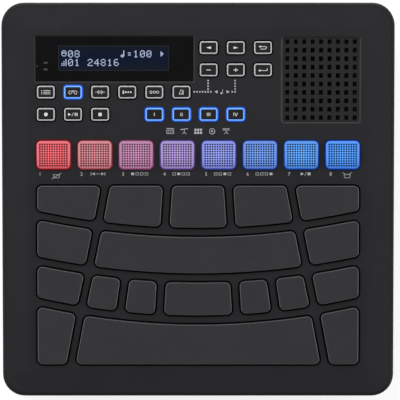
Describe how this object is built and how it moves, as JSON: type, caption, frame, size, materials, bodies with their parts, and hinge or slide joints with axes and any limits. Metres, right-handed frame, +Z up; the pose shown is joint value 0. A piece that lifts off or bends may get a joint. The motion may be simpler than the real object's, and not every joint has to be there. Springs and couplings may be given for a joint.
{
  "type": "drum machine",
  "caption": "Table-top finger drum machine: a low wedge case with curved rows of struck pads, a row of lit pads, framed keys, a character display and a speaker.",
  "frame": {"origin": "on the table, under the middle of the case's outline", "axes": "+X to the player's right, +Y to the back of the case, +Z up"},
  "size_m": [0.24, 0.241, 0.0491],
  "materials": {
    "upper_case_plastic": "fine moulded texture",
    "lower_case_plastic": "fine moulded texture",
    "grille_plastic": "fine moulded texture",
    "window_acrylic": "polished, dark",
    "display_glass": "dark blue behind the window",
    "speaker_paper": "matt",
    "circuit_board": "lacquered",
    "battery_wrap": "wrapped cell pack",
    "socket_plastic": "moulded",
    "foot_rubber": "matt",
    "screw_steel": "zinc plated",
    "pad_rubber": "satin silicone",
    "key_plastic": "satin frame round a black cap",
    "knob_plastic": "satin",
    "lit_silicone_1": "translucent, lit from below, with a grid of dots",
    "lit_silicone_2": "translucent, lit from below, with a grid of dots",
    "lit_silicone_3": "translucent, lit from below, with a grid of dots",
    "lit_silicone_4": "translucent, lit from below, with a grid of dots",
    "lit_silicone_5": "translucent, lit from below, with a grid of dots",
    "lit_silicone_6": "translucent, lit from below, with a grid of dots",
    "lit_silicone_7": "translucent, lit from below, with a grid of dots",
    "lit_silicone_8": "translucent, lit from below, with a grid of dots"
  },
  "bodies": {
    "chassis": {"top_case": "upper_case_plastic", "bottom_case": "lower_case_plastic", "speaker_grille": "grille_plastic", "display_window": "window_acrylic", "display_module": "display_glass", "speaker": "speaker_paper", "pad_sensor_board": "circuit_board", "key_board": "circuit_board", "main_board": "circuit_board", "battery_pack": "battery_wrap", "rear_sockets": "socket_plastic", "rubber_feet": "foot_rubber", "case_screws": "screw_steel"},
    "pad_row1_1": {"pad_row1_1": "pad_rubber"},
    "pad_row1_2": {"pad_row1_2": "pad_rubber"},
    "pad_row1_3": {"pad_row1_3": "pad_rubber"},
    "pad_row1_4": {"pad_row1_4": "pad_rubber"},
    "pad_row1_5": {"pad_row1_5": "pad_rubber"},
    "pad_row2_1": {"pad_row2_1": "pad_rubber"},
    "pad_row2_2": {"pad_row2_2": "pad_rubber"},
    "pad_row2_3": {"pad_row2_3": "pad_rubber"},
    "pad_row3_1": {"pad_row3_1": "pad_rubber"},
    "pad_row3_2": {"pad_row3_2": "pad_rubber"},
    "pad_row3_3": {"pad_row3_3": "pad_rubber"},
    "pad_row3_4": {"pad_row3_4": "pad_rubber"},
    "pad_row3_5": {"pad_row3_5": "pad_rubber"},
    "pad_row3_6": {"pad_row3_6": "pad_rubber"},
    "pad_row3_7": {"pad_row3_7": "pad_rubber"},
    "pad_row4_1": {"pad_row4_1": "pad_rubber"},
    "pad_row4_2": {"pad_row4_2": "pad_rubber"},
    "pad_row4_3": {"pad_row4_3": "pad_rubber"},
    "lit_pad_1": {"lit_pad_1": "lit_silicone_1"},
    "lit_pad_2": {"lit_pad_2": "lit_silicone_2"},
    "lit_pad_3": {"lit_pad_3": "lit_silicone_3"},
    "lit_pad_4": {"lit_pad_4": "lit_silicone_4"},
    "lit_pad_5": {"lit_pad_5": "lit_silicone_5"},
    "lit_pad_6": {"lit_pad_6": "lit_silicone_6"},
    "lit_pad_7": {"lit_pad_7": "lit_silicone_7"},
    "lit_pad_8": {"lit_pad_8": "lit_silicone_8"},
    "key_cursor_left": {"key_cursor_left": "key_plastic"},
    "key_cursor_right": {"key_cursor_right": "key_plastic"},
    "key_exit": {"key_exit": "key_plastic"},
    "key_value_down": {"key_value_down": "key_plastic"},
    "key_value_up": {"key_value_up": "key_plastic"},
    "key_enter": {"key_enter": "key_plastic"},
    "key_menu": {"key_menu": "key_plastic"},
    "key_kit": {"key_kit": "key_plastic"},
    "key_audio": {"key_audio": "key_plastic"},
    "key_session": {"key_session": "key_plastic"},
    "key_registration": {"key_registration": "key_plastic"},
    "key_click": {"key_click": "key_plastic"},
    "key_record": {"key_record": "key_plastic"},
    "key_play_pause": {"key_play_pause": "key_plastic"},
    "key_stop": {"key_stop": "key_plastic"},
    "key_bank_1": {"key_bank_1": "key_plastic"},
    "key_bank_2": {"key_bank_2": "key_plastic"},
    "key_bank_3": {"key_bank_3": "key_plastic"},
    "key_bank_4": {"key_bank_4": "key_plastic"},
    "power_button": {"power_button": "knob_plastic"},
    "volume_knob": {"volume_knob": "knob_plastic"}
  },
  "joints": [
    {"name": "pad_row1_1_press", "type": "slide", "parent": "chassis", "child": "pad_row1_1", "axis": [0, -0.0698, 0.9976], "range_m": [-0.0006, 0], "stiffness_N_per_m": 600, "springref_m": 0.002},
    {"name": "pad_row1_2_press", "type": "slide", "parent": "chassis", "child": "pad_row1_2", "axis": [0, -0.0698, 0.9976], "range_m": [-0.0006, 0], "stiffness_N_per_m": 600, "springref_m": 0.002},
    {"name": "pad_row1_3_press", "type": "slide", "parent": "chassis", "child": "pad_row1_3", "axis": [0, -0.0698, 0.9976], "range_m": [-0.0006, 0], "stiffness_N_per_m": 600, "springref_m": 0.002},
    {"name": "pad_row1_4_press", "type": "slide", "parent": "chassis", "child": "pad_row1_4", "axis": [0, -0.0698, 0.9976], "range_m": [-0.0006, 0], "stiffness_N_per_m": 600, "springref_m": 0.002},
    {"name": "pad_row1_5_press", "type": "slide", "parent": "chassis", "child": "pad_row1_5", "axis": [0, -0.0698, 0.9976], "range_m": [-0.0006, 0], "stiffness_N_per_m": 600, "springref_m": 0.002},
    {"name": "pad_row2_1_press", "type": "slide", "parent": "chassis", "child": "pad_row2_1", "axis": [0, -0.0698, 0.9976], "range_m": [-0.0006, 0], "stiffness_N_per_m": 600, "springref_m": 0.002},
    {"name": "pad_row2_2_press", "type": "slide", "parent": "chassis", "child": "pad_row2_2", "axis": [0, -0.0698, 0.9976], "range_m": [-0.0006, 0], "stiffness_N_per_m": 600, "springref_m": 0.002},
    {"name": "pad_row2_3_press", "type": "slide", "parent": "chassis", "child": "pad_row2_3", "axis": [0, -0.0698, 0.9976], "range_m": [-0.0006, 0], "stiffness_N_per_m": 600, "springref_m": 0.002},
    {"name": "pad_row3_1_press", "type": "slide", "parent": "chassis", "child": "pad_row3_1", "axis": [0, -0.0698, 0.9976], "range_m": [-0.0006, 0], "stiffness_N_per_m": 600, "springref_m": 0.002},
    {"name": "pad_row3_2_press", "type": "slide", "parent": "chassis", "child": "pad_row3_2", "axis": [0, -0.0698, 0.9976], "range_m": [-0.0006, 0], "stiffness_N_per_m": 600, "springref_m": 0.002},
    {"name": "pad_row3_3_press", "type": "slide", "parent": "chassis", "child": "pad_row3_3", "axis": [0, -0.0698, 0.9976], "range_m": [-0.0006, 0], "stiffness_N_per_m": 600, "springref_m": 0.002},
    {"name": "pad_row3_4_press", "type": "slide", "parent": "chassis", "child": "pad_row3_4", "axis": [0, -0.0698, 0.9976], "range_m": [-0.0006, 0], "stiffness_N_per_m": 600, "springref_m": 0.002},
    {"name": "pad_row3_5_press", "type": "slide", "parent": "chassis", "child": "pad_row3_5", "axis": [0, -0.0698, 0.9976], "range_m": [-0.0006, 0], "stiffness_N_per_m": 600, "springref_m": 0.002},
    {"name": "pad_row3_6_press", "type": "slide", "parent": "chassis", "child": "pad_row3_6", "axis": [0, -0.0698, 0.9976], "range_m": [-0.0006, 0], "stiffness_N_per_m": 600, "springref_m": 0.002},
    {"name": "pad_row3_7_press", "type": "slide", "parent": "chassis", "child": "pad_row3_7", "axis": [0, -0.0698, 0.9976], "range_m": [-0.0006, 0], "stiffness_N_per_m": 600, "springref_m": 0.002},
    {"name": "pad_row4_1_press", "type": "slide", "parent": "chassis", "child": "pad_row4_1", "axis": [0, -0.0698, 0.9976], "range_m": [-0.0006, 0], "stiffness_N_per_m": 600, "springref_m": 0.002},
    {"name": "pad_row4_2_press", "type": "slide", "parent": "chassis", "child": "pad_row4_2", "axis": [0, -0.0698, 0.9976], "range_m": [-0.0006, 0], "stiffness_N_per_m": 600, "springref_m": 0.002},
    {"name": "pad_row4_3_press", "type": "slide", "parent": "chassis", "child": "pad_row4_3", "axis": [0, -0.0698, 0.9976], "range_m": [-0.0006, 0], "stiffness_N_per_m": 600, "springref_m": 0.002},
    {"name": "lit_pad_1_press", "type": "slide", "parent": "chassis", "child": "lit_pad_1", "axis": [0, -0.0698, 0.9976], "range_m": [-0.0008, 0], "stiffness_N_per_m": 300, "springref_m": 0.003},
    {"name": "lit_pad_2_press", "type": "slide", "parent": "chassis", "child": "lit_pad_2", "axis": [0, -0.0698, 0.9976], "range_m": [-0.0008, 0], "stiffness_N_per_m": 300, "springref_m": 0.003},
    {"name": "lit_pad_3_press", "type": "slide", "parent": "chassis", "child": "lit_pad_3", "axis": [0, -0.0698, 0.9976], "range_m": [-0.0008, 0], "stiffness_N_per_m": 300, "springref_m": 0.003},
    {"name": "lit_pad_4_press", "type": "slide", "parent": "chassis", "child": "lit_pad_4", "axis": [0, -0.0698, 0.9976], "range_m": [-0.0008, 0], "stiffness_N_per_m": 300, "springref_m": 0.003},
    {"name": "lit_pad_5_press", "type": "slide", "parent": "chassis", "child": "lit_pad_5", "axis": [0, -0.0698, 0.9976], "range_m": [-0.0008, 0], "stiffness_N_per_m": 300, "springref_m": 0.003},
    {"name": "lit_pad_6_press", "type": "slide", "parent": "chassis", "child": "lit_pad_6", "axis": [0, -0.0698, 0.9976], "range_m": [-0.0008, 0], "stiffness_N_per_m": 300, "springref_m": 0.003},
    {"name": "lit_pad_7_press", "type": "slide", "parent": "chassis", "child": "lit_pad_7", "axis": [0, -0.0698, 0.9976], "range_m": [-0.0008, 0], "stiffness_N_per_m": 300, "springref_m": 0.003},
    {"name": "lit_pad_8_press", "type": "slide", "parent": "chassis", "child": "lit_pad_8", "axis": [0, -0.0698, 0.9976], "range_m": [-0.0008, 0], "stiffness_N_per_m": 300, "springref_m": 0.003},
    {"name": "key_cursor_left_press", "type": "slide", "parent": "chassis", "child": "key_cursor_left", "axis": [0, -0.0698, 0.9976], "range_m": [-0.0008, 0], "stiffness_N_per_m": 300, "springref_m": 0.003},
    {"name": "key_cursor_right_press", "type": "slide", "parent": "chassis", "child": "key_cursor_right", "axis": [0, -0.0698, 0.9976], "range_m": [-0.0008, 0], "stiffness_N_per_m": 300, "springref_m": 0.003},
    {"name": "key_exit_press", "type": "slide", "parent": "chassis", "child": "key_exit", "axis": [0, -0.0698, 0.9976], "range_m": [-0.0008, 0], "stiffness_N_per_m": 300, "springref_m": 0.003},
    {"name": "key_value_down_press", "type": "slide", "parent": "chassis", "child": "key_value_down", "axis": [0, -0.0698, 0.9976], "range_m": [-0.0008, 0], "stiffness_N_per_m": 300, "springref_m": 0.003},
    {"name": "key_value_up_press", "type": "slide", "parent": "chassis", "child": "key_value_up", "axis": [0, -0.0698, 0.9976], "range_m": [-0.0008, 0], "stiffness_N_per_m": 300, "springref_m": 0.003},
    {"name": "key_enter_press", "type": "slide", "parent": "chassis", "child": "key_enter", "axis": [0, -0.0698, 0.9976], "range_m": [-0.0008, 0], "stiffness_N_per_m": 300, "springref_m": 0.003},
    {"name": "key_menu_press", "type": "slide", "parent": "chassis", "child": "key_menu", "axis": [0, -0.0698, 0.9976], "range_m": [-0.0008, 0], "stiffness_N_per_m": 300, "springref_m": 0.003},
    {"name": "key_kit_press", "type": "slide", "parent": "chassis", "child": "key_kit", "axis": [0, -0.0698, 0.9976], "range_m": [-0.0008, 0], "stiffness_N_per_m": 300, "springref_m": 0.003},
    {"name": "key_audio_press", "type": "slide", "parent": "chassis", "child": "key_audio", "axis": [0, -0.0698, 0.9976], "range_m": [-0.0008, 0], "stiffness_N_per_m": 300, "springref_m": 0.003},
    {"name": "key_session_press", "type": "slide", "parent": "chassis", "child": "key_session", "axis": [0, -0.0698, 0.9976], "range_m": [-0.0008, 0], "stiffness_N_per_m": 300, "springref_m": 0.003},
    {"name": "key_registration_press", "type": "slide", "parent": "chassis", "child": "key_registration", "axis": [0, -0.0698, 0.9976], "range_m": [-0.0008, 0], "stiffness_N_per_m": 300, "springref_m": 0.003},
    {"name": "key_click_press", "type": "slide", "parent": "chassis", "child": "key_click", "axis": [0, -0.0698, 0.9976], "range_m": [-0.0008, 0], "stiffness_N_per_m": 300, "springref_m": 0.003},
    {"name": "key_record_press", "type": "slide", "parent": "chassis", "child": "key_record", "axis": [0, -0.0698, 0.9976], "range_m": [-0.0008, 0], "stiffness_N_per_m": 300, "springref_m": 0.003},
    {"name": "key_play_pause_press", "type": "slide", "parent": "chassis", "child": "key_play_pause", "axis": [0, -0.0698, 0.9976], "range_m": [-0.0008, 0], "stiffness_N_per_m": 300, "springref_m": 0.003},
    {"name": "key_stop_press", "type": "slide", "parent": "chassis", "child": "key_stop", "axis": [0, -0.0698, 0.9976], "range_m": [-0.0008, 0], "stiffness_N_per_m": 300, "springref_m": 0.003},
    {"name": "key_bank_1_press", "type": "slide", "parent": "chassis", "child": "key_bank_1", "axis": [0, -0.0698, 0.9976], "range_m": [-0.0008, 0], "stiffness_N_per_m": 300, "springref_m": 0.003},
    {"name": "key_bank_2_press", "type": "slide", "parent": "chassis", "child": "key_bank_2", "axis": [0, -0.0698, 0.9976], "range_m": [-0.0008, 0], "stiffness_N_per_m": 300, "springref_m": 0.003},
    {"name": "key_bank_3_press", "type": "slide", "parent": "chassis", "child": "key_bank_3", "axis": [0, -0.0698, 0.9976], "range_m": [-0.0008, 0], "stiffness_N_per_m": 300, "springref_m": 0.003},
    {"name": "key_bank_4_press", "type": "slide", "parent": "chassis", "child": "key_bank_4", "axis": [0, -0.0698, 0.9976], "range_m": [-0.0008, 0], "stiffness_N_per_m": 300, "springref_m": 0.003},
    {"name": "power_button_press", "type": "slide", "parent": "chassis", "child": "power_button", "axis": [0, 1, 0], "range_m": [-0.001, 0], "stiffness_N_per_m": 300, "springref_m": 0.003},
    {"name": "volume_turn", "type": "hinge", "parent": "chassis", "child": "volume_knob", "pos_m": [0.056, 0.11511, 0.0185], "axis": [0, 1, 0], "range_deg": [-150, 150]}
  ]
}
